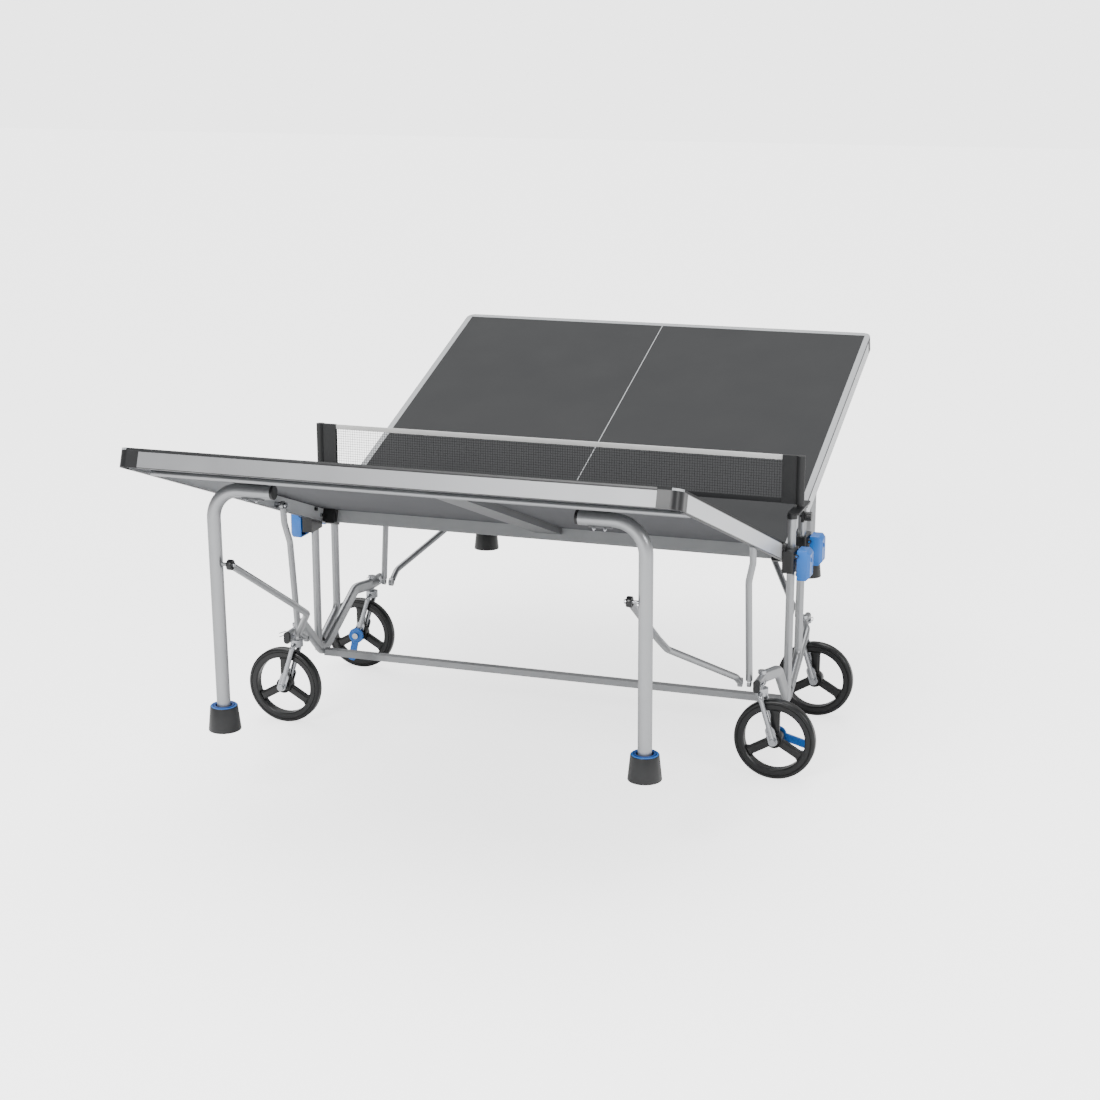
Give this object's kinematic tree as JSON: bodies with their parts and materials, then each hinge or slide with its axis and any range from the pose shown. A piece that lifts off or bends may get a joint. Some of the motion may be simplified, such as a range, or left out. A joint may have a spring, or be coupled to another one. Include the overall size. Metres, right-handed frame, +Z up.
{
  "type": "ping pong table",
  "caption": "Folding outdoor table-tennis table on swivel casters, part-folded into a shallow V, with net, folding legs, sliders and latch handles.",
  "frame": {"origin": "on the floor under the middle of the net, midway between the casters", "axes": "+X along the net to the right as seen from the near half, +Y along the table towards the far half, +Z up"},
  "size_m": [1.832, 2.6188, 1.0928],
  "materials": {
    "playing_board": "matte laminate",
    "silver_steel": "satin powder coat",
    "white_steel": "satin powder coat",
    "grey_steel": "satin powder coat",
    "black_steel": "satin powder coat",
    "zinc_steel": "zinc plated",
    "black_plastic": "moulded",
    "blue_plastic": "moulded",
    "tyre_rubber": "moulded",
    "net_cloth": "woven"
  },
  "bodies": {
    "chassis": {"side_rails": "silver_steel", "rail_end_plugs": "black_plastic", "chassis_bolts": "zinc_steel", "cross_bar": "silver_steel", "guide_posts": "silver_steel", "net_brackets": "black_steel", "net_sleeves": "black_plastic", "net": "net_cloth"},
    "left_tension_knob": {"left_tension_knob": "black_plastic"},
    "right_tension_knob": {"right_tension_knob": "black_plastic"},
    "near_sliders": {"near_slider_blocks": "black_plastic"},
    "near_half": {"near_top": "playing_board", "near_end_apron": "silver_steel", "near_side_aprons": "white_steel", "near_corner_caps": "black_plastic", "near_inner_apron": "grey_steel", "near_centre_rail": "grey_steel", "near_cross_tube": "silver_steel", "near_leg_brackets": "black_plastic", "near_half_bolts": "zinc_steel"},
    "near_legs": {"near_legs": "silver_steel", "near_leg_plugs": "black_plastic"},
    "near_struts": {"near_struts": "silver_steel"},
    "near_support_arms": {"near_support_arms": "silver_steel"},
    "near_left_handle": {"near_left_handle": "blue_plastic"},
    "near_left_foot": {"near_left_foot": "black_plastic"},
    "near_right_handle": {"near_right_handle": "blue_plastic"},
    "near_right_foot": {"near_right_foot": "black_plastic"},
    "far_sliders": {"far_slider_blocks": "black_plastic"},
    "far_half": {"far_top": "playing_board", "far_end_apron": "silver_steel", "far_side_aprons": "white_steel", "far_corner_caps": "black_plastic", "far_inner_apron": "grey_steel", "far_centre_rail": "grey_steel", "far_cross_tube": "silver_steel", "far_leg_brackets": "black_plastic", "far_half_bolts": "zinc_steel"},
    "far_legs": {"far_legs": "silver_steel", "far_leg_plugs": "black_plastic"},
    "far_struts": {"far_struts": "silver_steel"},
    "far_support_arms": {"far_support_arms": "silver_steel"},
    "far_left_handle": {"far_left_handle": "blue_plastic"},
    "far_left_foot": {"far_left_foot": "black_plastic"},
    "far_right_handle": {"far_right_handle": "blue_plastic"},
    "far_right_foot": {"far_right_foot": "black_plastic"},
    "near_left_caster": {"near_left_fork": "silver_steel", "near_left_axle": "zinc_steel"},
    "near_left_wheel": {"near_left_wheel": "tyre_rubber"},
    "near_right_caster": {"near_right_fork": "silver_steel", "near_right_axle": "zinc_steel"},
    "near_right_wheel": {"near_right_wheel": "tyre_rubber"},
    "near_right_brake": {"near_right_brake": "blue_plastic"},
    "far_left_caster": {"far_left_fork": "silver_steel", "far_left_axle": "zinc_steel"},
    "far_left_wheel": {"far_left_wheel": "tyre_rubber"},
    "far_left_brake": {"far_left_brake": "blue_plastic"},
    "far_right_caster": {"far_right_fork": "silver_steel", "far_right_axle": "zinc_steel"},
    "far_right_wheel": {"far_right_wheel": "tyre_rubber"}
  },
  "joints": [
    {"name": "left_tension_knob_turn", "type": "hinge", "parent": "chassis", "child": "left_tension_knob", "pos_m": [-0.8025, 0, 0.728], "axis": [1, 0, 0], "range_deg": [-180, 180]},
    {"name": "right_tension_knob_turn", "type": "hinge", "parent": "chassis", "child": "right_tension_knob", "pos_m": [0.8025, 0, 0.728], "axis": [1, 0, 0], "range_deg": [-180, 180]},
    {"name": "near_slide", "type": "slide", "parent": "chassis", "child": "near_sliders", "axis": [0, 0, 1], "range_m": [-0.2782, 0.0877]},
    {"name": "near_fold", "type": "hinge", "parent": "near_sliders", "child": "near_half", "pos_m": [0, -0.115, 0.65677], "axis": [-1, 0, 0], "range_deg": [-19.6, 62.4]},
    {"name": "near_leg_fold", "type": "hinge", "parent": "near_half", "child": "near_legs", "pos_m": [0, -1.06973, 0.94472], "axis": [-1, 0, 0], "range_deg": [-70, 25]},
    {"name": "near_strut_fold", "type": "hinge", "parent": "near_legs", "child": "near_struts", "pos_m": [0, -1.06527, 0.73176], "axis": [-1, 0, 0], "range_deg": [-25, 70]},
    {"name": "near_arm_fold", "type": "hinge", "parent": "near_half", "child": "near_support_arms", "pos_m": [0, -0.39491, 0.73521], "axis": [-1, 0, 0], "range_deg": [-35, 12]},
    {"name": "near_left_handle_pull", "type": "hinge", "parent": "near_sliders", "child": "near_left_handle", "pos_m": [-0.807, -0.093, 0.63477], "axis": [0, 1, 0], "range_deg": [0, 20], "stiffness_Nm_per_rad": 1.5, "springref_deg": -8.59},
    {"name": "near_left_foot_screw", "type": "slide", "parent": "near_legs", "child": "near_left_foot", "axis": [0, -0.0209, 0.9998], "range_m": [0, 0.015]},
    {"name": "near_right_handle_pull", "type": "hinge", "parent": "near_sliders", "child": "near_right_handle", "pos_m": [0.807, -0.093, 0.63477], "axis": [0, -1, 0], "range_deg": [0, 20], "stiffness_Nm_per_rad": 1.5, "springref_deg": -8.59},
    {"name": "near_right_foot_screw", "type": "slide", "parent": "near_legs", "child": "near_right_foot", "axis": [0, -0.0209, 0.9998], "range_m": [0, 0.015]},
    {"name": "far_slide", "type": "slide", "parent": "chassis", "child": "far_sliders", "axis": [0, 0, 1], "range_m": [-0.2782, 0.0877]},
    {"name": "far_fold", "type": "hinge", "parent": "far_sliders", "child": "far_half", "pos_m": [0, 0.115, 0.65677], "axis": [1, 0, 0], "range_deg": [-19.6, 62.4]},
    {"name": "far_leg_fold", "type": "hinge", "parent": "far_half", "child": "far_legs", "pos_m": [0, 1.06973, 0.94472], "axis": [1, 0, 0], "range_deg": [-70, 25]},
    {"name": "far_strut_fold", "type": "hinge", "parent": "far_legs", "child": "far_struts", "pos_m": [0, 1.06527, 0.73176], "axis": [1, 0, 0], "range_deg": [-25, 70]},
    {"name": "far_arm_fold", "type": "hinge", "parent": "far_half", "child": "far_support_arms", "pos_m": [0, 0.39491, 0.73521], "axis": [1, 0, 0], "range_deg": [-35, 12]},
    {"name": "far_left_handle_pull", "type": "hinge", "parent": "far_sliders", "child": "far_left_handle", "pos_m": [-0.807, 0.093, 0.63477], "axis": [0, 1, 0], "range_deg": [0, 20], "stiffness_Nm_per_rad": 1.5, "springref_deg": -8.59},
    {"name": "far_left_foot_screw", "type": "slide", "parent": "far_legs", "child": "far_left_foot", "axis": [0, 0.0209, 0.9998], "range_m": [0, 0.015]},
    {"name": "far_right_handle_pull", "type": "hinge", "parent": "far_sliders", "child": "far_right_handle", "pos_m": [0.807, 0.093, 0.63477], "axis": [0, -1, 0], "range_deg": [0, 20], "stiffness_Nm_per_rad": 1.5, "springref_deg": -8.59},
    {"name": "far_right_foot_screw", "type": "slide", "parent": "far_legs", "child": "far_right_foot", "axis": [0, 0.0209, 0.9998], "range_m": [0, 0.015]},
    {"name": "near_left_swivel", "type": "hinge", "parent": "chassis", "child": "near_left_caster", "pos_m": [-0.75, -0.298, 0.262], "axis": [0, 0, 1], "continuous": true},
    {"name": "near_left_roll", "type": "hinge", "parent": "near_left_caster", "child": "near_left_wheel", "pos_m": [-0.794, -0.298, 0.122], "axis": [0, 1, 0], "continuous": true},
    {"name": "near_right_swivel", "type": "hinge", "parent": "chassis", "child": "near_right_caster", "pos_m": [0.75, -0.298, 0.262], "axis": [0, 0, 1], "continuous": true},
    {"name": "near_right_roll", "type": "hinge", "parent": "near_right_caster", "child": "near_right_wheel", "pos_m": [0.794, -0.298, 0.122], "axis": [0, 1, 0], "continuous": true},
    {"name": "near_right_brake_press", "type": "hinge", "parent": "near_right_caster", "child": "near_right_brake", "pos_m": [0.794, -0.298, 0.122], "axis": [0, 1, 0], "range_deg": [0, 63]},
    {"name": "far_left_swivel", "type": "hinge", "parent": "chassis", "child": "far_left_caster", "pos_m": [-0.75, 0.298, 0.262], "axis": [0, 0, 1], "continuous": true},
    {"name": "far_left_roll", "type": "hinge", "parent": "far_left_caster", "child": "far_left_wheel", "pos_m": [-0.794, 0.298, 0.122], "axis": [0, 1, 0], "continuous": true},
    {"name": "far_left_brake_press", "type": "hinge", "parent": "far_left_caster", "child": "far_left_brake", "pos_m": [-0.794, 0.298, 0.122], "axis": [0, -1, 0], "range_deg": [-63, 0]},
    {"name": "far_right_swivel", "type": "hinge", "parent": "chassis", "child": "far_right_caster", "pos_m": [0.75, 0.298, 0.262], "axis": [0, 0, 1], "continuous": true},
    {"name": "far_right_roll", "type": "hinge", "parent": "far_right_caster", "child": "far_right_wheel", "pos_m": [0.794, 0.298, 0.122], "axis": [0, 1, 0], "continuous": true}
  ],
  "couplings": [
    {"joint": "near_slide", "follows": "near_fold", "m_per_rad": -0.255},
    {"joint": "near_leg_fold", "follows": "near_fold", "ratio": -1.06},
    {"joint": "near_strut_fold", "follows": "near_fold", "ratio": 1.06},
    {"joint": "near_arm_fold", "follows": "near_fold", "ratio": -0.5},
    {"joint": "far_slide", "follows": "far_fold", "m_per_rad": -0.255},
    {"joint": "far_leg_fold", "follows": "far_fold", "ratio": -1.06},
    {"joint": "far_strut_fold", "follows": "far_fold", "ratio": 1.06},
    {"joint": "far_arm_fold", "follows": "far_fold", "ratio": -0.5}
  ]
}
